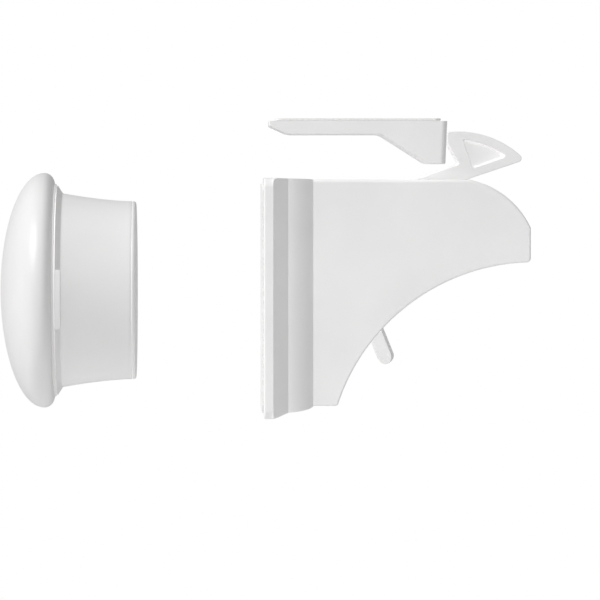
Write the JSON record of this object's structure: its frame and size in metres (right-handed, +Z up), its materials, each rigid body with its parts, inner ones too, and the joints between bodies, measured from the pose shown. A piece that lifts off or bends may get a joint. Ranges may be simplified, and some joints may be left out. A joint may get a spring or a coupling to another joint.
{
  "type": "magnetic drawer lock",
  "caption": "Magnetic child-safety drawer lock set: sprung hook lock with off switch, hollow catch and a round magnetic key, in white plastic.",
  "frame": {"origin": "centre of the adhesive face that sits on the inner side of the drawer front", "axes": "+X from the drawer front into the cabinet, +Y across the lock, +Z up towards the cabinet top"},
  "size_m": [0.1192, 0.053, 0.0671],
  "materials": {
    "lock_plastic": "satin",
    "key_plastic": "gloss",
    "foam_pad": "matte",
    "steel": "satin",
    "magnet": "polished"
  },
  "bodies": {
    "lock_body": {"lock_adhesive_pad": "foam_pad", "back_plate": "lock_plastic", "back_plate_screw_1": "steel", "back_plate_screw_2": "steel", "back_plate_screw_3": "steel", "back_plate_screw_4": "steel", "lock_housing": "lock_plastic", "latch_pin": "steel", "switch_pin": "steel", "latch_spring": "steel"},
    "latch": {"latch_arm": "lock_plastic", "latch_magnet": "magnet", "latch_magnet_cover": "lock_plastic"},
    "switch": {"off_switch": "lock_plastic"},
    "strike": {"catch": "lock_plastic", "catch_adhesive_pad": "foam_pad"},
    "key": {"key_dome": "key_plastic", "key_body": "key_plastic", "key_end_disc": "key_plastic", "key_magnet": "magnet", "key_yoke": "steel"}
  },
  "joints": [
    {"name": "latch_swing", "type": "hinge", "parent": "lock_body", "child": "latch", "pos_m": [0.017, 0, 0.0186], "axis": [0, 1, 0], "range_deg": [0, 16], "stiffness_Nm_per_rad": 0.02, "springref_deg": -20.05, "deforming": ["latch_spring"]},
    {"name": "switch_turn", "type": "hinge", "parent": "lock_body", "child": "switch", "pos_m": [0.02416, 0, -0.00385], "axis": [0, -1, 0], "range_deg": [0, 40]},
    {"name": "key_approach", "type": "slide", "parent": "lock_body", "child": "key", "axis": [1, 0, 0], "range_m": [-0.04, 0.0102]},
    {"name": "drawer_play", "type": "slide", "parent": "lock_body", "child": "strike", "axis": [1, 0, 0], "range_m": [0, 0.002]}
  ]
}
